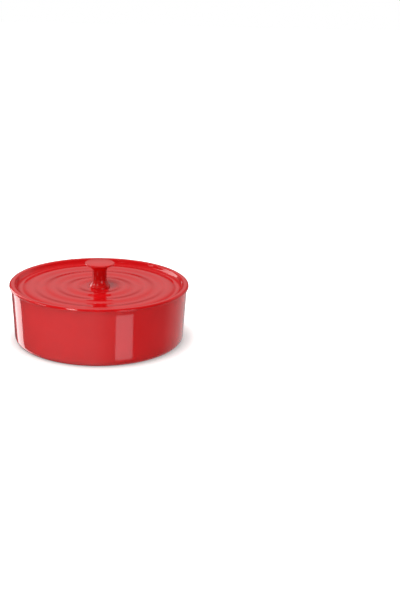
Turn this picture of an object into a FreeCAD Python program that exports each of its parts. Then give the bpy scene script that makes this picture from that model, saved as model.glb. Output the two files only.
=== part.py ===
import FreeCAD, Part
import math
import os

import Sketcher

# Tortilla warmer: a deep round bowl with a loose plug lid, and a two-piece knob that one screw clamps to the lid.
# Millimetres. The origin is the centre of the standing ring, on the ground, and +Z points up through the knob.

doc = FreeCAD.newDocument("TortillaWarmer")
sheet = doc.addObject("Spreadsheet::Sheet", "Sizes")

# ---------------------------------------------------------------- driving dimensions
drivingSizes = [
    # bowl
    ("bowlRadius", 115.5, "outer radius of the bowl at its rim"),
    ("bowlHeight", 74.2, "height of the bowl's rim above the ground"),
    ("bowlTaper", 4.1, "how much smaller the outer radius is at the base"),
    ("bowlWall", 2.8, "thickness of the bowl's wall"),
    ("bowlFloor", 3.0, "thickness of the bowl's floor"),
    ("baseCorner", 7.5, "outer corner between wall and base"),
    ("insideCorner", 6.0, "inner corner between wall and floor"),
    ("standingWidth", 5.5, "width of the ring that the bowl stands on"),
    ("standingHeight", 1.6, "height of that ring"),
    ("lipRound", 0.9, "rounding of the bowl's rim"),
    # lid
    ("lidOverhang", 2.3, "how far the lid's flange stands out past the bowl"),
    ("flangeHeight", 3.8, "height of the flange"),
    ("flangeRound", 2.6, "rounding of the flange's upper outer edge"),
    ("flangeUnderRound", 0.9, "rounding of its lower outer edge"),
    ("flangeLand", 7.7, "width of the flange, from its outer edge to the dish"),
    ("landRound", 3.2, "rounding between the flange's top and the dish"),
    ("dishDepth", 6.6, "depth of the dish below the flange's top"),
    ("dishCurve", 8.0, "radius of the dish's side"),
    ("plateWall", 2.6, "thickness of the lid's plate"),
    ("padRadius", 19.5, "flat pad under the knob"),
    ("rippleHeight", 1.4, "height of a ripple from valley to crest"),
    ("brimCurve", 36.0, "radius of the outermost ripple's outer side"),
    ("plugDepth", 8.0, "how far the plug ring reaches into the bowl"),
    ("plugWall", 2.4, "thickness of the plug ring"),
    ("plugDraft", 0.5, "how much smaller the plug ring is at its lower edge"),
    ("plugGap", 1.1, "gap between the plug ring and the bowl's wall"),
    # knob
    ("stemHeight", 16.5, "height of the knob's stem"),
    ("stemTopRadius", 9.3, "radius of the stem's waist, at its top"),
    ("stemFootRadius", 13.8, "radius of the stem's foot"),
    ("stemFootEdge", 0.9, "height of the foot's upright edge"),
    ("stemShoulder", 2.4, "radius of the outward curve above the foot"),
    ("stemFlare", 12.0, "height above the pad at which the foot's flare ends"),
    ("stemCoreRadius", 7.2, "radius of the hollow in the stem"),
    ("stemCoreHeight", 9.0, "height of that hollow"),
    ("stemRound", 0.3, "rounding of the stem's top edge"),
    ("capRadius", 19.4, "radius of the knob's cap"),
    ("neckLength", 4.1, "straight length of the neck, from the stem to the funnel under the cap"),
    ("capDome", 0.9, "how far the cap's top is crowned"),
    ("capEdge", 2.2, "thickness of the cap's edge"),
    ("capRound", 0.9, "rounding of the cap's edge"),
    ("neckRadius", 9.3, "radius of the cap's neck"),
    ("neckRound", 0.3, "rounding of the neck where it meets the stem"),
    ("spigotRadius", 5.8, "radius of the spigot that centres cap and stem"),
    ("spigotLength", 1.8, "length of that spigot"),
    ("spigotGap", 0.15, "gap round the spigot and under it"),
    # fasteners
    ("insertWall", 1.0, "thickness of the thread insert's wall, from the screw's radius outwards"),
    ("insertLength", 10.0, "length of the thread insert"),
    ("insertWaist", 0.4, "depth of the groove round the insert"),
    ("insertWaistWidth", 2.0, "width of that groove"),
    ("knurlDepth", 0.3, "depth of a knurl notch"),
    ("knurlWidth", 0.55, "width of a knurl notch at the surface"),
    ("insertGap", 0.02, "gap between the insert and the cap"),
    ("screwRadius", 2.5, "radius of the screw's thread"),
    ("screwLength", 30.0, "length of the screw under its head"),
    ("threadPitch", 0.8, "distance from one thread to the next"),
    ("threadDepth", 0.4, "depth of the thread"),
    ("threadedLength", 16.0, "length of the threaded end"),
    ("threadGap", 0.05, "gap between the screw and the insert"),
    ("headRadius", 4.75, "radius of the screw's head"),
    ("headHeight", 3.7, "height of the screw's head"),
    ("headRound", 1.8, "rounding of the screw's head"),
    ("driveWidth", 1.1, "width of an arm of the cross recess"),
    ("driveSpan", 5.0, "span of the cross recess"),
    ("driveDepth", 2.0, "depth of the cross recess"),
    ("holeGap", 0.25, "gap between the screw and each hole that it passes through"),
    ("washerRadius", 7.5, "outer radius of the steel washer"),
    ("washerHeight", 1.2, "thickness of the steel washer"),
    ("gasketRadius", 7.0, "outer radius of the silicone washer"),
    ("gasketHeight", 1.5, "thickness of the silicone washer"),
    ("gasketRound", 0.4, "rounding of the silicone washer"),
]
rippleCount = 3
knurlCount = 24

for row, (alias, number, note) in enumerate(drivingSizes, start=1):
    sheet.set(f"A{row}", alias)
    sheet.set(f"B{row}", str(number))
    sheet.setAlias(f"B{row}", alias)
    sheet.set(f"C{row}", note)
doc.recompute()


# A size that is a number and also the expression which ties it to the sheet, so each formula is written once.
class Size:
    def __init__(self, value, text):
        self.value = value
        self.text = text

    def __add__(self, other):
        return join(self, other, "+", self.value + plain(other).value)

    def __sub__(self, other):
        return join(self, other, "-", self.value - plain(other).value)

    def __rsub__(self, other):
        return plain(other) - self

    def __mul__(self, other):
        return join(self, other, "*", self.value * plain(other).value)

    def __rmul__(self, other):
        return plain(other) * self

    def __truediv__(self, other):
        return join(self, other, "/", self.value / plain(other).value)


def plain(number):
    if isinstance(number, Size):
        return number
    return Size(float(number), repr(float(number)))


def join(left, right, sign, value):
    return Size(value, f"({left.text} {sign} {plain(right).text})")


def root(size):
    return Size(math.sqrt(size.value), f"sqrt({size.text})")


def square(size):
    return size * size


def sized(alias):
    return Size(float(sheet.get(alias)), f"Sizes.{alias}")


def bind(item, prop, size):
    setattr(item, prop, size.value)
    item.setExpression(prop, size.text)


# ---------------------------------------------------------------- shared places and sizes
axisLine = plain(0)
ground = plain(0)

rimHeight = sized("bowlHeight")
baseRadius = sized("bowlRadius") - sized("bowlTaper")
floorTop = sized("standingHeight") + sized("bowlFloor")
mouthRadius = sized("bowlRadius") - sized("bowlWall")

lidRadius = sized("bowlRadius") + sized("lidOverhang")
lidTop = rimHeight + sized("flangeHeight")
dishEdge = lidRadius - sized("flangeLand")
valleyHeight = lidTop - sized("dishDepth")
crestHeight = valleyHeight + sized("rippleHeight")
padUnder = valleyHeight - sized("plateWall")
plugRadius = mouthRadius - sized("plugGap")
plugBottom = rimHeight - sized("plugDepth")

stemTop = valleyHeight + sized("stemHeight")
spigotBottom = stemTop - sized("spigotLength")
capFunnel = sized("capRadius") - sized("neckRadius")
capUnder = stemTop + sized("neckLength") + capFunnel
capRim = capUnder + sized("capEdge")
capTop = capRim + sized("capDome")

gasketTop = padUnder
gasketBottom = gasketTop - sized("gasketHeight")
washerBottom = gasketBottom - sized("washerHeight")
headBottom = washerBottom - sized("headHeight")
screwTip = washerBottom + sized("screwLength")
screwHole = sized("screwRadius") + sized("holeGap")
insertRadius = sized("screwRadius") + sized("insertWall")


# ---------------------------------------------------------------- helpers for bodies and sketches
def makeBody(label):
    body = doc.addObject("PartDesign::Body", label)
    body.Label = label
    body.Placement = FreeCAD.Placement()
    return body


def originPlane(body, role):
    for feature in body.Origin.OriginFeatures:
        if feature.Role == role:
            return feature
    raise ValueError(f"{body.Label} has no {role}")


def makeSketch(body, name, role="XZ_Plane", height=None):
    sketch = body.newObject("Sketcher::SketchObject", name)
    sketch.AttachmentSupport = [(originPlane(body, role), "")]
    sketch.MapMode = "FlatFace"
    if height is not None:
        sketch.AttachmentOffset = FreeCAD.Placement(FreeCAD.Vector(0, 0, height.value), FreeCAD.Rotation())
        sketch.setExpression("AttachmentOffset.Base.z", height.text)
    return sketch


# Ties one end of a sketch line to a place given by two sizes.
def pinPoint(sketch, geometry, end, place):
    for kind, size, crossAxis in (("DistanceX", place[0], -2), ("DistanceY", place[1], -1)):
        if size.value == 0:
            sketch.addConstraint(Sketcher.Constraint("PointOnObject", geometry, end, crossAxis))
            continue
        index = sketch.addConstraint(Sketcher.Constraint(kind, -1, 1, geometry, end, size.value))
        sketch.setExpression(f"Constraints[{index}]", size.text)


# The arc from one point to the next with a given radius. A left turn runs anticlockwise.
def makeArc(start, finish, radius, turn):
    chord = finish - start
    half = chord.Length / 2
    across = FreeCAD.Vector(-chord.y, chord.x, 0).normalize()
    reach = math.sqrt(max(radius * radius - half * half, 0))
    side = 1 if turn == "left" else -1
    centre = start + chord * 0.5 + across * (side * reach)
    first, last = (start, finish) if turn == "left" else (finish, start)
    startAngle = math.atan2(first.y - centre.y, first.x - centre.x)
    endAngle = math.atan2(last.y - centre.y, last.x - centre.x)
    if endAngle < startAngle:
        endAngle += 2 * math.pi
    circle = Part.Circle(centre, FreeCAD.Vector(0, 0, 1), radius)
    return Part.ArcOfCircle(circle, startAngle, endAngle)


# A closed outline from corner to corner. Each corner is (x, y) or (x, y, radius, turn), where the last two
# say that the edge that leaves this corner is an arc.
def drawOutline(sketch, corners):
    ends = []
    for number, corner in enumerate(corners):
        following = corners[(number + 1) % len(corners)]
        start = FreeCAD.Vector(corner[0].value, corner[1].value, 0)
        finish = FreeCAD.Vector(following[0].value, following[1].value, 0)
        if len(corner) == 2:
            edge = sketch.addGeometry(Part.LineSegment(start, finish), False)
            ends.append((edge, 1, 2))
            continue
        radius, turn = corner[2], corner[3]
        edge = sketch.addGeometry(makeArc(start, finish, radius.value, turn), False)
        ends.append((edge, 1, 2) if turn == "left" else (edge, 2, 1))
        index = sketch.addConstraint(Sketcher.Constraint("Radius", edge, radius.value))
        sketch.setExpression(f"Constraints[{index}]", radius.text)
    for number, (edge, startEnd, finishEnd) in enumerate(ends):
        nextEdge, nextStart, _ = ends[(number + 1) % len(ends)]
        sketch.addConstraint(Sketcher.Constraint("Coincident", edge, finishEnd, nextEdge, nextStart))
        pinPoint(sketch, edge, startEnd, corners[number])


def drawCircle(sketch, radius):
    circle = sketch.addGeometry(Part.Circle(FreeCAD.Vector(), FreeCAD.Vector(0, 0, 1), radius.value), False)
    sketch.addConstraint(Sketcher.Constraint("Coincident", circle, 3, -1, 1))
    index = sketch.addConstraint(Sketcher.Constraint("Radius", circle, radius.value))
    sketch.setExpression(f"Constraints[{index}]", radius.text)


def turnSection(body, name, corners, kind="PartDesign::Revolution"):
    sketch = makeSketch(body, name + "Section")
    drawOutline(sketch, corners)
    turned = body.newObject(kind, name)
    turned.Profile = sketch
    turned.ReferenceAxis = (sketch, ["V_Axis"])
    turned.Angle = 360
    doc.recompute()
    return turned


# The names of the round edges that lie at the given radii and heights.
def roundEdges(shape, places):
    names = []
    for radius, height in places:
        found = None
        for number, edge in enumerate(shape.Edges, start=1):
            if edge.Degenerated or not isinstance(edge.Curve, Part.Circle):
                continue
            curve = edge.Curve
            level = abs(curve.Center.z - height.value) < 0.001
            if level and abs(curve.Radius - radius.value) < 0.001 and abs(curve.Axis.z) > 0.999:
                found = f"Edge{number}"
        if found is None:
            raise ValueError(f"no round edge at radius {radius.value} and height {height.value}")
        names.append(found)
    return names


def roundOff(body, name, base, places, radius):
    fillet = body.newObject("PartDesign::Fillet", name)
    fillet.Base = (base, roundEdges(base.Shape, places))
    bind(fillet, "Radius", radius)
    doc.recompute()
    return fillet


def cutAway(body, name, sketch, depth, upwards):
    before = body.Shape.Volume
    pocket = body.newObject("PartDesign::Pocket", name)
    pocket.Profile = sketch
    bind(pocket, "Length", depth)
    pocket.Reversed = upwards
    doc.recompute()
    checkCut(name, before, body.Shape.Volume)
    return pocket


def checkCut(name, before, after):
    if after >= before:
        raise ValueError(f"{name} cut nothing away")


def padRing(body, name, bottom, height, outer, inner):
    sketch = makeSketch(body, name + "Outline", "XY_Plane", bottom)
    drawCircle(sketch, outer)
    drawCircle(sketch, inner)
    pad = body.newObject("PartDesign::Pad", name)
    pad.Profile = sketch
    bind(pad, "Length", height)
    doc.recompute()
    return pad


# ---------------------------------------------------------------- bowl
# One thin moulding. Its wall leans out a little so that it draws from the mould, and it stands on a low ring.
def buildBowl():
    body = makeBody("bowl")
    standingInner = baseRadius - sized("baseCorner") - sized("standingWidth")
    innerBase = baseRadius - sized("bowlWall")
    section = [
        (axisLine, sized("standingHeight")),
        (standingInner, sized("standingHeight")),
        (standingInner, ground),
        (baseRadius, ground),
        (sized("bowlRadius"), rimHeight),
        (mouthRadius, rimHeight),
        (innerBase, floorTop),
        (axisLine, floorTop),
    ]
    turned = turnSection(body, "BowlShell", section)
    outside = roundOff(body, "BowlBaseCorner", turned, [(baseRadius, ground)], sized("baseCorner"))
    inside = roundOff(body, "BowlInsideCorner", outside, [(innerBase, floorTop)], sized("insideCorner"))
    lip = [(sized("bowlRadius"), rimHeight), (mouthRadius, rimHeight)]
    rim = roundOff(body, "BowlLip", inside, lip, sized("lipRound"))
    step = [(standingInner, ground), (standingInner, sized("standingHeight"))]
    roundOff(body, "BowlStandingRing", rim, step, sized("standingHeight") * 0.4)
    return body


# ---------------------------------------------------------------- lid
# One moulding of even thickness. Its section is a chain of arcs that meet smoothly: a flat pad, round ripples of
# equal pitch, and the side of the dish, which rises to the flange. The underside is the same chain set inwards.
def buildLid():
    body = makeBody("lid")
    height = sized("rippleHeight")
    wall = sized("plateWall")
    dishCurve = sized("dishCurve")
    brimCurve = sized("brimCurve")

    dishRun = root(2 * dishCurve * sized("dishDepth") - square(sized("dishDepth")))
    dishBottom = dishEdge - dishRun
    bothCurves = brimCurve + dishCurve
    brimRun = root(2 * height * bothCurves - square(height))
    lastCrest = dishBottom - brimRun
    pitch = (lastCrest - sized("padRadius")) / (rippleCount - 0.5)
    ripple = (square(pitch) / 4 + square(height)) / (4 * height)
    leanSine = pitch / 4 / ripple
    leanCosine = 1 - height / 2 / ripple
    middle = valleyHeight + height / 2

    # where the ripples' arcs meet, halfway up each flank
    flanks = []
    for number in range(2 * rippleCount - 1):
        flanks.append(sized("padRadius") + pitch * (number / 2 + 0.25))
    brimShare = brimCurve / bothCurves
    brimMeet = (lastCrest + brimRun * brimShare, crestHeight - height * brimShare)

    # upper side, from the middle outwards
    section = [(axisLine, valleyHeight), (sized("padRadius"), valleyHeight, ripple, "left")]
    for number, flank in enumerate(flanks):
        section.append((flank, middle, ripple, "right" if number % 2 == 0 else "left"))
    section.append((lastCrest, crestHeight, brimCurve, "right"))
    section.append((brimMeet[0], brimMeet[1], dishCurve, "left"))
    section.append((dishEdge, lidTop))

    # flange and plug ring
    plugLow = plugRadius - sized("plugDraft")
    plugInside = plugRadius - sized("plugWall")
    underRun = root(square(dishCurve + wall) - square(plugInside - dishBottom))
    plugInsideTop = valleyHeight + dishCurve - underRun
    section += [
        (lidRadius, lidTop),
        (lidRadius, rimHeight),
        (plugRadius, rimHeight),
        (plugLow, plugBottom),
        (plugInside, plugBottom),
        (plugInside, plugInsideTop, dishCurve + wall, "right"),
    ]

    # lower side, from the plug ring inwards
    leanRun = brimRun / bothCurves
    leanRise = 1 - height / bothCurves
    section.append((brimMeet[0] - wall * leanRun, brimMeet[1] - wall * leanRise, brimCurve - wall, "left"))
    section.append((lastCrest, crestHeight - wall, ripple - wall, "left"))
    for number in reversed(range(len(flanks))):
        rising = number % 2 == 0
        shift = wall * leanSine if rising else wall * leanSine * -1
        curve = ripple + wall if rising else ripple - wall
        section.append((flanks[number] + shift, middle - wall * leanCosine, curve, "right" if rising else "left"))
    section.append((sized("padRadius"), padUnder))
    section.append((axisLine, padUnder))

    turned = turnSection(body, "LidShell", section)
    flange = roundOff(body, "LidFlangeEdge", turned, [(lidRadius, lidTop)], sized("flangeRound"))
    under = roundOff(body, "LidFlangeUnderEdge", flange, [(lidRadius, rimHeight)], sized("flangeUnderRound"))
    land = roundOff(body, "LidDishEdge", under, [(dishEdge, lidTop)], sized("landRound"))
    plugEdges = [(plugLow, plugBottom), (plugInside, plugBottom)]
    roundOff(body, "LidPlugEdge", land, plugEdges, sized("plugWall") * 0.35)

    hole = makeSketch(body, "LidHoleOutline", "XY_Plane", padUnder - 1)
    drawCircle(hole, screwHole)
    cutAway(body, "LidHole", hole, wall + 2, True)
    return body


# ---------------------------------------------------------------- knob stem
# A sleeve that stands on the lid's pad. Its foot flares out in two arcs that meet smoothly, and the upper arc runs
# into the upright shaft. It is cored from below, and its top has a socket for the cap.
def buildStem():
    body = makeBody("knob_stem")
    flareReach = sized("stemFootRadius") - sized("stemTopRadius")
    flareRise = sized("stemFlare") - sized("stemFootEdge")
    bothCurves = (square(flareReach) + square(flareRise)) / (2 * flareReach)
    shoulderShare = sized("stemShoulder") / bothCurves
    flareTop = valleyHeight + sized("stemFlare")
    curvesMeet = (sized("stemFootRadius") - flareReach * shoulderShare, flareTop - flareRise * (1 - shoulderShare))
    footTop = valleyHeight + sized("stemFootEdge")
    coreTop = valleyHeight + sized("stemCoreHeight")
    socketRadius = sized("spigotRadius") + sized("spigotGap")
    socketBottom = spigotBottom - sized("spigotGap")
    section = [
        (sized("stemCoreRadius"), valleyHeight),
        (sized("stemFootRadius"), valleyHeight),
        (sized("stemFootRadius"), footTop, sized("stemShoulder"), "left"),
        (curvesMeet[0], curvesMeet[1], bothCurves - sized("stemShoulder"), "right"),
        (sized("stemTopRadius"), flareTop),
        (sized("stemTopRadius"), stemTop),
        (socketRadius, stemTop),
        (socketRadius, socketBottom),
        (screwHole, socketBottom),
        (screwHole, coreTop),
        (sized("stemCoreRadius"), coreTop),
    ]
    turned = turnSection(body, "StemSleeve", section)
    roundOff(body, "StemTopEdge", turned, [(sized("stemTopRadius"), stemTop)], sized("stemRound"))
    return body


# ---------------------------------------------------------------- knob cap
# A crowned disc that funnels down to a neck. A spigot under the neck centres it on the stem.
def buildCap():
    body = makeBody("knob_cap")
    crown = (square(sized("capRadius")) + square(sized("capDome"))) / (2 * sized("capDome"))
    section = [
        (axisLine, spigotBottom),
        (sized("spigotRadius"), spigotBottom),
        (sized("spigotRadius"), stemTop),
        (sized("neckRadius"), stemTop),
        (sized("neckRadius"), stemTop + sized("neckLength"), capFunnel, "right"),
        (sized("capRadius"), capUnder),
        (sized("capRadius"), capRim, crown, "left"),
        (axisLine, capTop),
    ]
    turned = turnSection(body, "CapMushroom", section)
    rimEdges = [(sized("capRadius"), capUnder), (sized("capRadius"), capRim)]
    rim = roundOff(body, "CapRim", turned, rimEdges, sized("capRound"))
    roundOff(body, "CapNeck", rim, [(sized("neckRadius"), stemTop)], sized("neckRound"))

    seatTop = spigotBottom + sized("insertLength")
    tipRoom = screwTip + sized("threadPitch")
    insertSeat = insertRadius + sized("insertGap")
    before = body.Shape.Volume
    bore = [
        (axisLine, spigotBottom),
        (insertSeat, spigotBottom),
        (insertSeat, seatTop),
        (screwHole, seatTop),
        (screwHole, tipRoom),
        (axisLine, tipRoom),
    ]
    turnSection(body, "CapBore", bore, "PartDesign::Groove")
    checkCut("CapBore", before, body.Shape.Volume)
    return body


# ---------------------------------------------------------------- thread insert
# A brass tube with a waist and lengthwise knurl notches, which lock it in the cap.
def buildInsert():
    body = makeBody("knob_insert")
    radius = insertRadius
    waistRadius = radius - sized("insertWaist")
    waistBottom = spigotBottom + (sized("insertLength") - sized("insertWaistWidth")) / 2
    waistTop = waistBottom + sized("insertWaistWidth")
    boreRadius = sized("screwRadius") + sized("threadGap")
    section = [
        (boreRadius, spigotBottom),
        (radius, spigotBottom),
        (radius, waistBottom),
        (waistRadius, waistBottom),
        (waistRadius, waistTop),
        (radius, waistTop),
        (radius, spigotBottom + sized("insertLength")),
        (boreRadius, spigotBottom + sized("insertLength")),
    ]
    turnSection(body, "InsertTube", section)

    notch = makeSketch(body, "InsertNotchOutline", "XY_Plane", spigotBottom - 1)
    halfWidth = sized("knurlWidth") / 2
    outside = radius + sized("knurlDepth")
    drawOutline(notch, [
        (radius - sized("knurlDepth"), axisLine),
        (outside, halfWidth * 2),
        (outside, halfWidth * -2),
    ])
    notched = cutAway(body, "InsertNotch", notch, sized("insertLength") + 2, True)
    before = body.Shape.Volume
    knurl = body.newObject("PartDesign::PolarPattern", "InsertKnurl")
    knurl.Originals = [notched]
    knurl.Axis = (notch, ["N_Axis"])
    knurl.Angle = 360
    knurl.Occurrences = knurlCount
    body.Tip = knurl
    doc.recompute()
    checkCut("InsertKnurl", before, body.Shape.Volume)
    return body


# ---------------------------------------------------------------- screw
# Pan head screw, head down. Its thread is a row of grooves at the thread's pitch.
def buildScrew():
    body = makeBody("knob_screw")
    radius = sized("screwRadius")
    section = [
        (axisLine, headBottom),
        (sized("headRadius"), headBottom),
        (sized("headRadius"), washerBottom),
        (radius, washerBottom),
        (radius, screwTip - sized("threadDepth")),
        (radius - sized("threadDepth"), screwTip),
        (axisLine, screwTip),
    ]
    turned = turnSection(body, "ScrewBlank", section)
    roundOff(body, "ScrewHeadRound", turned, [(sized("headRadius"), headBottom)], sized("headRound"))

    halfArm = sized("driveWidth") / 2
    halfSpan = sized("driveSpan") / 2
    cross = makeSketch(body, "ScrewCrossOutline", "XY_Plane", headBottom)
    drawOutline(cross, [
        (halfSpan, halfArm * -1), (halfSpan, halfArm), (halfArm, halfArm),
        (halfArm, halfSpan), (halfArm * -1, halfSpan), (halfArm * -1, halfArm),
        (halfSpan * -1, halfArm), (halfSpan * -1, halfArm * -1), (halfArm * -1, halfArm * -1),
        (halfArm * -1, halfSpan * -1), (halfArm, halfSpan * -1), (halfArm, halfArm * -1),
    ])
    cutAway(body, "ScrewCross", cross, sized("driveDepth"), True)

    pitch = sized("threadPitch")
    turns = int(sized("threadedLength").value / pitch.value)
    firstTurn = screwTip - sized("threadedLength")
    before = body.Shape.Volume
    outside = radius + sized("threadDepth") * 0.1
    halfMouth = pitch * 0.42
    groove = turnSection(body, "ScrewThreadTurn", [
        (radius - sized("threadDepth"), firstTurn),
        (outside, firstTurn - halfMouth),
        (outside, firstTurn + halfMouth),
    ], "PartDesign::Groove")
    thread = body.newObject("PartDesign::LinearPattern", "ScrewThread")
    thread.Originals = [groove]
    thread.Direction = (groove.Profile[0], ["V_Axis"])
    thread.Length = pitch.value * (turns - 1)
    thread.setExpression("Length", (pitch * (turns - 1)).text)
    thread.Occurrences = turns
    body.Tip = thread
    doc.recompute()
    checkCut("ScrewThread", before, body.Shape.Volume)
    return body


# ---------------------------------------------------------------- washers
def buildWasher():
    body = makeBody("knob_washer")
    padRing(body, "WasherRing", washerBottom, sized("washerHeight"), sized("washerRadius"), screwHole)
    return body


def buildGasket():
    body = makeBody("knob_gasket")
    outer = sized("gasketRadius")
    ring = padRing(body, "GasketRing", gasketBottom, sized("gasketHeight"), outer, screwHole)
    edges = [(outer, gasketBottom), (outer, gasketTop)]
    roundOff(body, "GasketEdge", ring, edges, sized("gasketRound"))
    return body


# ---------------------------------------------------------------- build, check and write
builders = [buildBowl, buildLid, buildStem, buildCap, buildInsert, buildScrew, buildWasher, buildGasket]
subParts = []
for builder in builders:
    subParts.append(builder())
doc.recompute()

for item in doc.Objects:
    for state in ("Invalid", "Error"):
        if state in item.State:
            raise RuntimeError(f"{item.Name} is {state}")

os.makedirs("parts", exist_ok=True)
for body in subParts:
    shape = body.Shape
    if shape.isNull() or not shape.isValid() or len(shape.Solids) != 1:
        raise RuntimeError(f"{body.Label} is not one valid solid")
    box = shape.optimalBoundingBox()
    print(f"{body.Label}: volume {shape.Volume:.1f} mm3, z {box.ZMin:.2f} to {box.ZMax:.2f}, x to {box.XMax:.2f}")
    shape.exportStep(f"parts/{body.Label}.step")
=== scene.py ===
import math

import bmesh
import bpy
from mathutils import Matrix, Vector


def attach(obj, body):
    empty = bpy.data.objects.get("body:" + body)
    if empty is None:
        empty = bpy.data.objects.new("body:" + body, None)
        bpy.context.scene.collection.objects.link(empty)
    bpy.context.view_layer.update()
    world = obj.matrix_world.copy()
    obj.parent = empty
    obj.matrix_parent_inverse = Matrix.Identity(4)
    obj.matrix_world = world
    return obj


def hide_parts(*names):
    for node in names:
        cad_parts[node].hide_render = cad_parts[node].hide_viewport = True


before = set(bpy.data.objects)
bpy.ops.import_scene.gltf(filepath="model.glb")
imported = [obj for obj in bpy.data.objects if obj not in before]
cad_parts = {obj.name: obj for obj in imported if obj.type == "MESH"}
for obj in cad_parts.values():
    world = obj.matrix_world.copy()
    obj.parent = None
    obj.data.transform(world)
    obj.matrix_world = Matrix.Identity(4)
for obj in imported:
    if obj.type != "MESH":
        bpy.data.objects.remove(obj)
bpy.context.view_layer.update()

millimetre = 0.001
turnSteps = 224  # faces round each turned piece
stepLength = 2.2  # mm between rings along a curve
straightLength = 4 * stepLength  # mm between rings where the section is straight
mergeDistance = 0.002  # mm
sharpAngle = 32  # degrees between faces from which an edge shows as an edge
cornerSteps = 8  # faces across a rounded corner
fewestArcSteps = 6
ringTextureStep = 2 * math.pi / 20  # distance from ring to ring of a ring texture whose scale is 1


# where the camera stands: metres and degrees
viewpoint = {
    "distance": 1.450,
    "elevation": 18.62,
    "target": (0.0, 0.0, 0.0381),
    "lens": 65.0,
    "turnRight": 5.295,  # the warmer stands left of the middle
    "turnUp": 0.546,
}


def setCamera():
    elevation = math.radians(viewpoint["elevation"])
    back = Vector((0, -math.cos(elevation), math.sin(elevation)))
    lens = bpy.data.cameras.new("camera")
    lens.lens = viewpoint["lens"]
    camera = bpy.data.objects.new("camera", lens)
    bpy.context.scene.collection.objects.link(camera)
    aim = (-back).to_track_quat("-Z", "Y").to_matrix().to_4x4()
    turn = Matrix.Rotation(math.radians(-viewpoint["turnRight"]), 4, "Y")
    tilt = Matrix.Rotation(math.radians(viewpoint["turnUp"]), 4, "X")
    place = Matrix.Translation(Vector(viewpoint["target"]) + back * viewpoint["distance"])
    camera.matrix_world = place @ aim @ turn @ tilt
    bpy.context.scene.camera = camera


# an sRGB hex colour as linear values
def linear(hexColour):
    channels = []
    for start in (0, 2, 4):
        value = int(hexColour[start:start + 2], 16) / 255
        channels.append(value / 12.92 if value <= 0.04045 else ((value + 0.055) / 1.055) ** 2.4)
    return (*channels, 1.0)


# adds one node, with its settings, its input values and the links into it
def addNode(tree, kind, settings=None, values=None, links=None):
    node = tree.nodes.new("ShaderNode" + kind)
    for name, value in (settings or {}).items():
        setattr(node, name, value)
    for name, value in (values or {}).items():
        node.inputs[name].default_value = value
    for name, socket in (links or {}).items():
        tree.links.new(socket, node.inputs[name])
    return node


def newMaterial(name):
    material = bpy.data.materials.new(name)
    material.use_nodes = True
    material.node_tree.nodes.clear()
    return material, material.node_tree


# compression-moulded melamine: dense, hard and glossy, with soft slow waves in its reflections
melamine = {
    "roughness": (0.06, 0.11),
    "ior": 1.52,
    "cloudSize": 38,  # mm, uneven patches of pigment and gloss
    "pigmentSpan": (0.3, 0.7),  # values of the clouds over which the pigment goes from darker to lighter
    "glossSpan": (0.35, 0.75),  # values of the clouds over which the gloss goes from clear to duller
    "tint": 0.035,  # how much the pigment varies
    "waveLength": 9.0,  # mm, the slow waves that a mould leaves in a gloss
    "waveHeight": 0.012,  # mm
    "scuffHeight": 1.3,  # mm, the part of the standing ring that rubs on tables
    "scuffDullness": 0.32,  # roughness that the rubbing adds, at most
    "scuffSize": 0.9,  # mm, the specks that the rubbing leaves
}


def makeMelamine(name, hexColour, scuffed=False):
    material, tree = newMaterial(name)
    place = addNode(tree, "TexCoord").outputs["Object"]
    cloud = addNode(
        tree, "TexNoise",
        values={"Scale": 1000 / melamine["cloudSize"], "Detail": 3.0, "Roughness": 0.55},
        links={"Vector": place},
    ).outputs["Fac"]
    wave = addNode(
        tree, "TexNoise",
        values={"Scale": 1000 / melamine["waveLength"], "Detail": 1.0},
        links={"Vector": place},
    ).outputs["Fac"]

    # pigment: the resin is a little uneven, lighter where it is cloudy
    base = linear(hexColour)
    darker = tuple(channel * (1 - melamine["tint"]) for channel in base[:3]) + (1.0,)
    lighter = tuple(min(channel * (1 + melamine["tint"]), 1) for channel in base[:3]) + (1.0,)
    first, last = melamine["pigmentSpan"]
    share = addNode(tree, "MapRange", values={"From Min": first, "From Max": last}, links={"Value": cloud})
    mixed = addNode(
        tree, "MixRGB",
        values={"Color1": darker, "Color2": lighter},
        links={"Fac": share.outputs["Result"]},
    )

    # gloss: duller in faint clouds, and rubbed dull where the standing ring touches tables
    first, last = melamine["glossSpan"]
    low, high = melamine["roughness"]
    gloss = addNode(
        tree, "MapRange",
        values={"From Min": first, "From Max": last, "To Min": low, "To Max": high},
        links={"Value": cloud},
    ).outputs["Result"]
    if scuffed:
        specks = addNode(
            tree, "TexNoise",
            values={"Scale": 1000 / melamine["scuffSize"], "Detail": 2.0},
            links={"Vector": place},
        ).outputs["Fac"]
        height = addNode(tree, "SeparateXYZ", links={"Vector": place}).outputs["Z"]
        rub = addNode(
            tree, "MapRange",
            values={
                "From Max": melamine["scuffHeight"] * millimetre,
                "To Min": melamine["scuffDullness"], "To Max": 0.0,
            },
            links={"Value": height},
        ).outputs["Result"]
        worn = addNode(tree, "Math", {"operation": "MULTIPLY"}, links={0: rub, 1: specks}).outputs["Value"]
        gloss = addNode(tree, "Math", {"operation": "ADD"}, links={0: gloss, 1: worn}).outputs["Value"]

    bump = addNode(
        tree, "Bump",
        values={"Strength": 1.0, "Distance": melamine["waveHeight"] * millimetre},
        links={"Height": wave},
    )
    shader = addNode(
        tree, "BsdfPrincipled",
        values={"IOR": melamine["ior"], "Specular IOR Level": 0.5},
        links={"Base Color": mixed.outputs["Color"], "Roughness": gloss, "Normal": bump.outputs["Normal"]},
    )
    addNode(tree, "OutputMaterial", links={"Surface": shader.outputs["BSDF"]})
    return material


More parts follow.
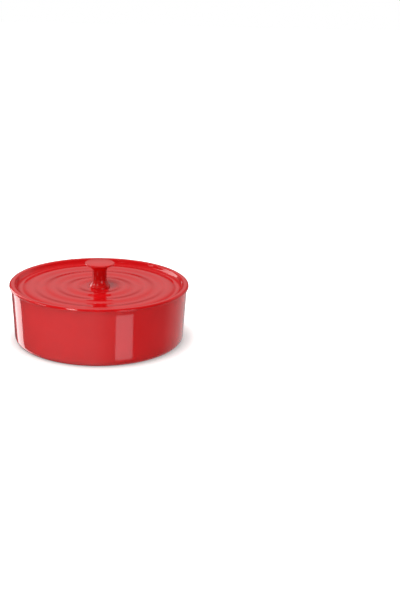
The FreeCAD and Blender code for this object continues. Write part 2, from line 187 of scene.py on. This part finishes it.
# the parts of the knob's fastening; spacings, depths and sizes in mm
steel = {
    "colour": "b9b8b4", "roughness": (0.22, 0.36), "smudgeSize": 3, "smudgeSpan": (0.3, 0.7),
    "ringSpacing": 2.199, "paintedGrooveShade": 0.82, "grooveDepth": 0.01,
}
brass = {
    "colour": "c79a4b", "roughness": (0.24, 0.38), "smudgeSize": 3, "smudgeSpan": (0.3, 0.7),
    "ringSpacing": 1.885, "paintedGrooveShade": 0.82, "grooveDepth": 0.01,
}
silicone = {
    "colour": "dcdad4", "roughness": 0.55, "ior": 1.41,
    "grainSize": 0.5, "grainShade": 0.93, "grainHeight": 0.02,
}


# turned metal: soft rings round the axis, with painted shade making the grooves a little darker
def makeTurnedMetal(name, finish):
    material, tree = newMaterial(name)
    place = addNode(tree, "TexCoord").outputs["Object"]
    rings = addNode(
        tree, "TexWave",
        {"wave_type": "RINGS", "rings_direction": "Z"},
        {"Scale": ringTextureStep / (finish["ringSpacing"] * millimetre), "Distortion": 1.5, "Detail": 2.0},
        {"Vector": place},
    ).outputs["Fac"]
    smudge = addNode(
        tree, "TexNoise",
        values={"Scale": 1000 / finish["smudgeSize"], "Detail": 3.0},
        links={"Vector": place},
    ).outputs["Fac"]
    base = linear(finish["colour"])
    # painted shade: the colour darkens in the grooves of the rings
    darker = tuple(channel * finish["paintedGrooveShade"] for channel in base[:3]) + (1.0,)
    colour = addNode(tree, "MixRGB", values={"Color1": darker, "Color2": base}, links={"Fac": rings})
    first, last = finish["smudgeSpan"]
    low, high = finish["roughness"]
    gloss = addNode(
        tree, "MapRange",
        values={"From Min": first, "From Max": last, "To Min": low, "To Max": high},
        links={"Value": smudge},
    ).outputs["Result"]
    bump = addNode(
        tree, "Bump",
        values={"Strength": 0.3, "Distance": finish["grooveDepth"] * millimetre},
        links={"Height": rings},
    )
    shader = addNode(
        tree, "BsdfPrincipled",
        values={"Metallic": 1.0},
        links={"Base Color": colour.outputs["Color"], "Roughness": gloss, "Normal": bump.outputs["Normal"]},
    )
    addNode(tree, "OutputMaterial", links={"Surface": shader.outputs["BSDF"]})
    return material


# moulded silicone rubber: milky and matt, with a fine grain
def makeSilicone(name):
    material, tree = newMaterial(name)
    place = addNode(tree, "TexCoord").outputs["Object"]
    grain = addNode(
        tree, "TexNoise",
        values={"Scale": 1000 / silicone["grainSize"], "Detail": 2.0},
        links={"Vector": place},
    ).outputs["Fac"]
    base = linear(silicone["colour"])
    darker = tuple(channel * silicone["grainShade"] for channel in base[:3]) + (1.0,)
    colour = addNode(tree, "MixRGB", values={"Color1": darker, "Color2": base}, links={"Fac": grain})
    bump = addNode(
        tree, "Bump",
        values={"Strength": 0.4, "Distance": silicone["grainHeight"] * millimetre},
        links={"Height": grain},
    )
    shader = addNode(
        tree, "BsdfPrincipled",
        values={"Roughness": silicone["roughness"], "IOR": silicone["ior"]},
        links={"Base Color": colour.outputs["Color"], "Normal": bump.outputs["Normal"]},
    )
    addNode(tree, "OutputMaterial", links={"Surface": shader.outputs["BSDF"]})
    return material


# A pen draws half a section in the plane of X and Z, in mm, from the axis outwards.
def startPen(mesh, x, z):
    return {"mesh": mesh, "point": mesh.verts.new((x * millimetre, 0, z * millimetre)), "corners": []}


def drawTo(pen, x, z, rounding=0.0):
    added = bmesh.ops.extrude_vert_indiv(pen["mesh"], verts=[pen["point"]])["verts"][0]
    added.co = (x * millimetre, 0, z * millimetre)
    pen["point"] = added
    if rounding:
        pen["corners"].append((added, rounding))


# an arc about a centre, anticlockwise for a positive angle
def drawArc(pen, x, z, degrees, rounding=0.0):
    centre = Vector((x, 0, z)) * millimetre
    length = (pen["point"].co - centre).length * math.radians(abs(degrees)) / millimetre
    swept = bmesh.ops.spin(
        pen["mesh"], geom=[pen["point"]], cent=centre, axis=(0, -1, 0),
        angle=math.radians(degrees), steps=max(fewestArcSteps, math.ceil(length / stepLength)),
    )
    pen["point"] = [item for item in swept["geom_last"] if isinstance(item, bmesh.types.BMVert)][0]
    if rounding:
        pen["corners"].append((pen["point"], rounding))


def closePen(pen, first):
    pen["mesh"].edges.new((pen["point"], first))


def roundCorners(pen):
    for corner, radius in pen["corners"]:
        first, second = [edge.other_vert(corner).co - corner.co for edge in corner.link_edges]
        offset = radius * millimetre / math.tan(first.angle(second) / 2)
        bmesh.ops.bevel(
            pen["mesh"], geom=[corner], offset=offset, offset_type="OFFSET", affect="VERTICES",
            segments=cornerSteps, profile=0.5, material=-1, clamp_overlap=False,
        )


# turns the drawn section round the Z axis into a closed smooth shell
def turnShell(name, pen, body, node, material):
    mesh = pen["mesh"]
    roundCorners(pen)
    bmesh.ops.remove_doubles(mesh, verts=mesh.verts, dist=mergeDistance * millimetre)
    for edge in list(mesh.edges):
        cuts = int(edge.calc_length() / (straightLength * millimetre))
        if cuts:
            bmesh.ops.subdivide_edges(mesh, edges=[edge], cuts=cuts)
    bmesh.ops.spin(
        mesh, geom=mesh.verts[:] + mesh.edges[:], cent=(0, 0, 0), axis=(0, 0, 1),
        angle=2 * math.pi, steps=turnSteps, use_merge=True,
    )
    bmesh.ops.remove_doubles(mesh, verts=mesh.verts, dist=mergeDistance * millimetre)
    bmesh.ops.recalc_face_normals(mesh, faces=mesh.faces)
    for face in mesh.faces:
        face.smooth = True
    data = bpy.data.meshes.new(name)
    mesh.to_mesh(data)
    mesh.free()
    data.set_sharp_from_angle(angle=math.radians(sharpAngle))
    data.materials.append(material)
    shell = bpy.data.objects.new(name, data)
    bpy.context.scene.collection.objects.link(shell)
    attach(shell, body)
    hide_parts(node)
    print(f"{name}: {len(data.polygons)} faces")
    return shell


# the bowl's section, in mm
bowl = {
    # painted light: the same melamine red as the lid's and the knob's, made lighter to brighten the bowl's walls
    "colour": "de0f14",
    "radius": 115.5, "height": 74.2, "taper": 4.1, "wall": 2.8, "floor": 3.0,
    "baseCorner": 7.5, "insideCorner": 6.0, "ringWidth": 5.5, "ringHeight": 1.6, "ringRound": 0.64, "lip": 0.9,
}


def makeBowl(material):
    baseRadius = bowl["radius"] - bowl["taper"]
    ringInside = baseRadius - bowl["baseCorner"] - bowl["ringWidth"]
    floorTop = bowl["ringHeight"] + bowl["floor"]
    pen = startPen(bmesh.new(), 0, bowl["ringHeight"])
    drawTo(pen, ringInside, bowl["ringHeight"], bowl["ringRound"])
    drawTo(pen, ringInside, 0, bowl["ringRound"])
    drawTo(pen, baseRadius, 0, bowl["baseCorner"])
    drawTo(pen, bowl["radius"], bowl["height"], bowl["lip"])
    drawTo(pen, bowl["radius"] - bowl["wall"], bowl["height"], bowl["lip"])
    drawTo(pen, baseRadius - bowl["wall"], floorTop, bowl["insideCorner"])
    drawTo(pen, 0, floorTop)
    turnShell("bowlShell", pen, "bowl", "bowl", material)


# the lid's section, in mm
lid = {
    # painted shade: the same melamine red as the bowl's and the knob's, made darker for less light on the lid
    "colour": "d20d12",
    "radius": 117.78, "top": 78.0, "seat": 74.2, "flangeRound": 2.6, "underRound": 0.9,
    "land": 7.68, "landRound": 3.2, "dishDepth": 6.6, "dishCurve": 8.0, "wall": 2.6,
    "pad": 19.5, "ripple": 1.4, "ripples": 3, "brimCurve": 36.0, "hole": 2.75,
    "plugRadius": 111.6, "plugBottom": 66.2, "plugWall": 2.4, "plugDraft": 0.5, "plugRound": 0.84,
}


# one side of the plate, from the hole to the dish: each arc starts where the last one ends, without a kink
def drawPlate(pen, inset, dishBottom, climb):
    valley = lid["top"] - lid["dishDepth"]
    bothCurves = lid["brimCurve"] + lid["dishCurve"]
    brimRun = math.sqrt(2 * lid["ripple"] * bothCurves - lid["ripple"] ** 2)
    lastCrest = dishBottom - brimRun
    pitch = (lastCrest - lid["pad"]) / (lid["ripples"] - 0.5)
    curve = (pitch ** 2 / 4 + lid["ripple"] ** 2) / (4 * lid["ripple"])
    lean = math.degrees(math.asin(pitch / 4 / curve))
    valleyCentre = valley + curve
    crestCentre = valley + lid["ripple"] - curve

    drawTo(pen, lid["pad"], valley - inset)
    drawArc(pen, lid["pad"], valleyCentre, lean)
    for number in range(lid["ripples"]):
        crest = lid["pad"] + pitch * (number + 0.5)
        last = number == lid["ripples"] - 1
        drawArc(pen, crest, crestCentre, -lean if last else -2 * lean)
        if not last:
            drawArc(pen, crest + pitch / 2, valleyCentre, 2 * lean)
    brimLean = math.degrees(math.asin(brimRun / bothCurves))
    drawArc(pen, lastCrest, valley + lid["ripple"] - lid["brimCurve"], -brimLean)
    drawArc(pen, dishBottom, valley + lid["dishCurve"], brimLean + climb)


def makeLid(material):
    mesh = bmesh.new()
    valley = lid["top"] - lid["dishDepth"]
    curve = lid["dishCurve"]
    dishBottom = lid["radius"] - lid["land"] - math.sqrt(2 * curve * lid["dishDepth"] - lid["dishDepth"] ** 2)

    # upper side: the dish climbs until it meets the round edge of the flange's top
    bothCurves = curve + lid["landRound"]
    edgeHeight = lid["top"] - lid["landRound"]
    climb = math.degrees(math.acos((valley + curve - edgeHeight) / bothCurves))
    upper = startPen(mesh, lid["hole"], valley)
    first = upper["point"]
    drawPlate(upper, 0.0, dishBottom, climb)
    drawArc(upper, dishBottom + bothCurves * math.sin(math.radians(climb)), edgeHeight, -climb)

    # lower side, plug ring and flange
    under = startPen(mesh, lid["hole"], valley - lid["wall"])
    closePen(under, first)
    plugInside = lid["plugRadius"] - lid["plugWall"]
    underClimb = math.degrees(math.asin((plugInside - dishBottom) / (curve + lid["wall"])))
    drawPlate(under, lid["wall"], dishBottom, underClimb)
    drawTo(under, plugInside, lid["plugBottom"], lid["plugRound"])
    drawTo(under, lid["plugRadius"] - lid["plugDraft"], lid["plugBottom"], lid["plugRound"])
    drawTo(under, lid["plugRadius"], lid["seat"])
    drawTo(under, lid["radius"], lid["seat"], lid["underRound"])
    drawTo(under, lid["radius"], lid["top"], lid["flangeRound"])
    closePen(under, upper["point"])
    turnShell("lidShell", under, "lid", "lid", material)


# the knob's two mouldings, in mm
knob = {
    # painted light: the same melamine red, lighter than the lid's and darker than the bowl's, for more light on
    # the knob than on the lid
    "colour": "da0f10",
    "bottom": 71.4, "foot": 13.8, "footEdge": 0.9, "shoulder": 2.4, "flareTop": 83.4, "waist": 9.3, "joint": 87.9,
    "core": 7.2, "coreTop": 80.4, "hole": 2.75, "socket": 5.95, "socketBottom": 85.95, "stemRound": 0.3,
    "neck": 9.3, "neckTop": 92.0, "radius": 19.4, "edge": 2.2, "dome": 0.9, "edgeRound": 0.9, "neckRound": 0.3,
    "spigot": 5.8, "spigotBottom": 86.1, "bore": 3.52, "boreTop": 96.1, "tipRoom": 96.9,
}


# its foot flares out in two arcs below an upright shaft
def makeStem(material):
    footTop = knob["bottom"] + knob["footEdge"]
    reach = knob["foot"] - knob["waist"]
    rise = knob["flareTop"] - footTop
    bothCurves = (reach ** 2 + rise ** 2) / (2 * reach)
    lean = math.degrees(math.asin(rise / bothCurves))
    pen = startPen(bmesh.new(), knob["core"], knob["bottom"])
    first = pen["point"]
    drawTo(pen, knob["foot"], knob["bottom"])
    drawTo(pen, knob["foot"], footTop)
    drawArc(pen, knob["foot"] - knob["shoulder"], footTop, lean)
    drawArc(pen, knob["waist"] + bothCurves - knob["shoulder"], knob["flareTop"], -lean)
    drawTo(pen, knob["waist"], knob["joint"], knob["stemRound"])
    drawTo(pen, knob["socket"], knob["joint"])
    drawTo(pen, knob["socket"], knob["socketBottom"])
    drawTo(pen, knob["hole"], knob["socketBottom"])
    drawTo(pen, knob["hole"], knob["coreTop"])
    drawTo(pen, knob["core"], knob["coreTop"])
    closePen(pen, first)
    turnShell("knobStemShell", pen, "lid", "knob_stem", material)


def makeCap(material):
    funnel = knob["radius"] - knob["neck"]
    under = knob["neckTop"] + funnel
    rim = under + knob["edge"]
    crown = (knob["radius"] ** 2 + knob["dome"] ** 2) / (2 * knob["dome"])
    pen = startPen(bmesh.new(), 0, knob["tipRoom"])
    drawTo(pen, knob["hole"], knob["tipRoom"])
    drawTo(pen, knob["hole"], knob["boreTop"])
    drawTo(pen, knob["bore"], knob["boreTop"])
    drawTo(pen, knob["bore"], knob["spigotBottom"])
    drawTo(pen, knob["spigot"], knob["spigotBottom"])
    drawTo(pen, knob["spigot"], knob["joint"])
    drawTo(pen, knob["neck"], knob["joint"], knob["neckRound"])
    drawTo(pen, knob["neck"], knob["neckTop"])
    drawArc(pen, knob["radius"], knob["neckTop"], -90, knob["edgeRound"])
    drawTo(pen, knob["radius"], rim, knob["edgeRound"])
    drawArc(pen, 0, rim + knob["dome"] - crown, math.degrees(math.asin(knob["radius"] / crown)))
    turnShell("knobCapShell", pen, "lid", "knob_cap", material)


# floor, lamps and what gloss shows of the room
stage = {
    "floorSize": 12.0,
    "floorColour": "f3f3f1",
    "mottle": (3.0, 0.99),  # patches per metre of the paper, and the lightness of the darker ones
    "glow": (0.42, 0.66, 0.85),  # what the camera sees of the floor beside its own light, from near to far
    "glowReach": (0.112, 0.134, 1.6),  # metres from the warmer's axis
    "paintedContactShadow": 0.6,  # painted contact shadow: the share of the paper's colour left at the first of these distances, rising to 1 at the second
    "fill": 0.30,  # light from all sides
    # Lamps for "light" only brighten, and those for "gloss" only show in reflections, so that each can be set by
    # itself. rightPanelInTable stands for what a shiny table would show of rightPanel.
    "lamps": [
        # name, azimuth from the camera's side, elevation, distance, width, height, turn, watts, colour, use
        ("keyLamp", -35, 70, 1.9, 1.1, 1.1, 0, 26, "ffffff", "light"),
        ("backLamp", 150, 60, 1.9, 1.3, 1.3, 0, 6, "ffffff", "light"),
        ("sideLamp", -30, 22, 1.9, 1.2, 1.0, 0, 3.2, "ffffff", "light"),
        ("leftPanel", -134.57, 0, 0.9413, 0.74, 1.6, 57.57, 10.6, "ffffff", "gloss"),
        ("rightPanel", 34, 12, 1.9, 0.75, 0.75, 0, 4, "f6f7ff", "gloss"),
        ("rightPanelInTable", 28, -19.0, 0.376, 0.125, 0.099, 0, 0.071, "f6f7ff", "gloss"),
        ("spotLamp", -38, 39, 1.9, 0.34, 0.34, 0, 14, "ffffff", "gloss"),
        ("rimLamp", -82, 30, 1.9, 0.5, 0.35, 0, 4.5, "ffffff", "gloss"),
    ],
    # levels of the room: (angle, level); round the table, and from the far side up and over
    "roundTable": [
        (-180, 0.1), (-156, 0.2), (-118, 0.35), (-104, 0.48), (-62, 0.9), (-10, 0.95), (14, 0.6),
        (48, 0.28), (96, 0.32), (108, 0.5), (122, 0.62), (150, 0.78), (166, 0.5), (180, 0.1),
    ],
    "overhead": [(0, 0.1), (8, 0.2), (17, 0.5), (34, 0.58), (62, 0.25), (100, 0.06), (180, 0.05)],
    # black flags on both sides of the far end, as shares of the level above
    "flags": [
        (-180, 1.0), (-172, 0.9), (-166, 0.3), (-154, 0.3), (-144, 1.0),
        (144, 1.0), (154, 0.3), (166, 0.3), (172, 0.9), (180, 1.0),
    ],
    "horizon": (-0.04, 0.08),  # height of the view direction over which the table's levels give way to the room's
}


def makeFloor():
    mesh = bmesh.new()
    bmesh.ops.create_grid(mesh, x_segments=1, y_segments=1, size=stage["floorSize"] / 2)
    data = bpy.data.meshes.new("floor")
    mesh.to_mesh(data)
    mesh.free()

    # matt white paper, which the camera sees as white; shadows still show on it, and a contact shadow is painted
    # on it beside the warmer
    material, tree = newMaterial("whitePaperSweep")
    place = addNode(tree, "TexCoord").outputs["Object"]
    patches, patchShade = stage["mottle"]
    mottle = addNode(
        tree, "TexNoise",
        values={"Scale": patches, "Detail": 2.0},
        links={"Vector": place},
    ).outputs["Fac"]
    base = linear(stage["floorColour"])
    darker = tuple(channel * patchShade for channel in base[:3]) + (1.0,)
    colour = addNode(tree, "MixRGB", values={"Color1": darker, "Color2": base}, links={"Fac": mottle})
    away = addNode(tree, "VectorMath", {"operation": "LENGTH"}, links={0: place}).outputs["Value"]
    beside, near, far = stage["glow"]
    first, second, third = stage["glowReach"]
    # painted contact shadow: the paper's colour darkens towards the warmer's base
    paintedShadow = addNode(
        tree, "MapRange",
        values={"From Min": first, "From Max": second, "To Min": stage["paintedContactShadow"], "To Max": 1.0},
        links={"Value": away},
    ).outputs["Result"]
    paperWithPaintedShadow = addNode(
        tree, "MixRGB", {"blend_type": "MULTIPLY"}, {"Fac": 1.0},
        {"Color1": colour.outputs["Color"], "Color2": paintedShadow},
    )
    paper = addNode(tree, "BsdfDiffuse", links={"Color": paperWithPaintedShadow.outputs["Color"]})
    level = addNode(
        tree, "MapRange",
        values={"From Min": first, "From Max": second, "To Min": beside, "To Max": near},
        links={"Value": away},
    ).outputs["Result"]
    more = addNode(
        tree, "MapRange",
        values={"From Min": second, "From Max": third, "To Min": 0.0, "To Max": far - near},
        links={"Value": away},
    ).outputs["Result"]
    level = addNode(tree, "Math", {"operation": "ADD"}, links={0: level, 1: more}).outputs["Value"]
    seen = addNode(tree, "LightPath").outputs["Is Camera Ray"]
    shown = addNode(tree, "Math", {"operation": "MULTIPLY"}, links={0: seen, 1: level}).outputs["Value"]
    glow = addNode(tree, "Emission", links={"Strength": shown})
    both = addNode(tree, "AddShader", links={0: paper.outputs["BSDF"], 1: glow.outputs["Emission"]})
    addNode(tree, "OutputMaterial", links={"Surface": both.outputs["Shader"]})
    data.materials.append(material)
    floor = bpy.data.objects.new("floor", data)
    bpy.context.scene.collection.objects.link(floor)
    floor.visible_glossy = False


def makeLamps():
    for name, azimuth, elevation, distance, width, height, turn, watts, colour, use in stage["lamps"]:
        lamp = bpy.data.lights.new(name, "AREA")
        lamp.shape = "RECTANGLE"
        lamp.size = width
        lamp.size_y = height
        lamp.energy = watts
        lamp.color = linear(colour)[:3]
        item = bpy.data.objects.new(name, lamp)
        around = math.radians(azimuth)
        upwards = math.radians(elevation)
        away = Vector((
            math.sin(around) * math.cos(upwards), -math.cos(around) * math.cos(upwards), math.sin(upwards)))
        centre = Vector(viewpoint["target"])
        item.matrix_world = Matrix.Translation(centre + away * distance) @ (
            Matrix.Rotation(math.radians(turn), 4, "Z") @ (-away).to_track_quat("-Z", "Y").to_matrix().to_4x4())
        item.visible_camera = False
        item.visible_glossy = use == "gloss"
        item.visible_diffuse = use == "light"
        bpy.context.scene.collection.objects.link(item)


# the room's grey level for each angle, from the first angle to the last
def roomLevels(tree, angle, levels):
    first, last = levels[0][0], levels[-1][0]
    share = addNode(
        tree, "MapRange",
        values={"From Min": math.radians(first), "From Max": math.radians(last)},
        links={"Value": angle},
    ).outputs["Result"]
    ramp = addNode(tree, "ValToRGB", links={"Fac": share})
    stops = ramp.color_ramp.elements
    stops[0].position, stops[1].position = 0.0, 1.0
    for degrees, level in levels[1:-1]:
        stops.new((degrees - first) / (last - first)).color = (level, level, level, 1.0)
    stops[0].color = (levels[0][1],) * 3 + (1.0,)
    stops[len(stops) - 1].color = (levels[-1][1],) * 3 + (1.0,)
    return ramp.outputs["Color"]


def makeWorld():
    world = bpy.data.worlds.new("studio")
    world.use_nodes = True
    tree = world.node_tree
    tree.nodes.clear()
    way = addNode(tree, "TexCoord").outputs["Generated"]
    part = addNode(tree, "SeparateXYZ", links={"Vector": way}).outputs
    nearer = addNode(tree, "Math", {"operation": "MULTIPLY"}, {1: -1.0}, {0: part["Y"]}).outputs["Value"]
    around = addNode(tree, "Math", {"operation": "ARCTAN2"}, links={0: part["X"], 1: nearer}).outputs["Value"]
    over = addNode(tree, "Math", {"operation": "ARCTAN2"}, links={0: part["Z"], 1: part["Y"]}).outputs["Value"]
    below = roomLevels(tree, around, stage["roundTable"])
    above = roomLevels(tree, over, stage["overhead"])
    flags = roomLevels(tree, around, stage["flags"])
    above = addNode(
        tree, "MixRGB", {"blend_type": "MULTIPLY"}, {"Fac": 1.0}, {"Color1": above, "Color2": flags},
    ).outputs["Color"]
    low, high = stage["horizon"]
    upwards = addNode(tree, "MapRange", values={"From Min": low, "From Max": high}, links={"Value": part["Z"]})
    room = addNode(tree, "MixRGB", links={"Fac": upwards.outputs["Result"], "Color1": below, "Color2": above})
    seen = addNode(tree, "LightPath").outputs
    fill = (stage["fill"],) * 3 + (1.0,)
    gloss = addNode(
        tree, "MixRGB",
        values={"Color1": fill},
        links={"Fac": seen["Is Glossy Ray"], "Color2": room.outputs["Color"]},
    )
    backdrop = addNode(
        tree, "MixRGB",
        values={"Color2": (1.0, 1.0, 1.0, 1.0)},
        links={"Fac": seen["Is Camera Ray"], "Color1": gloss.outputs["Color"]},
    )
    sky = addNode(tree, "Background", links={"Color": backdrop.outputs["Color"]})
    addNode(tree, "OutputWorld", links={"Surface": sky.outputs["Background"]})
    bpy.context.scene.world = world


def dressHardware():
    turnedSteel = makeTurnedMetal("turnedStainlessSteel", steel)
    turnedBrass = makeTurnedMetal("turnedBrass", brass)
    rubber = makeSilicone("mouldedSilicone")
    for node, material in (
        ("knob_screw", turnedSteel), ("knob_washer", turnedSteel),
        ("knob_insert", turnedBrass), ("knob_gasket", rubber),
    ):
        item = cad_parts[node]
        for slot in item.material_slots:
            slot.material = material
        if not item.material_slots:
            item.data.materials.append(material)


bpy.context.scene.view_settings.view_transform = "Standard"
setCamera()
makeFloor()
makeWorld()
makeLamps()
print("stage ready")
# one melamine in three copies, whose reds carry painted light and shade
makeBowl(makeMelamine("mouldedMelamineBowl", bowl["colour"], scuffed=True))
makeLid(makeMelamine("mouldedMelamineLid", lid["colour"]))
knobMelamine = makeMelamine("mouldedMelamineKnob", knob["colour"])
makeStem(knobMelamine)
makeCap(knobMelamine)
dressHardware()
print("warmer ready")
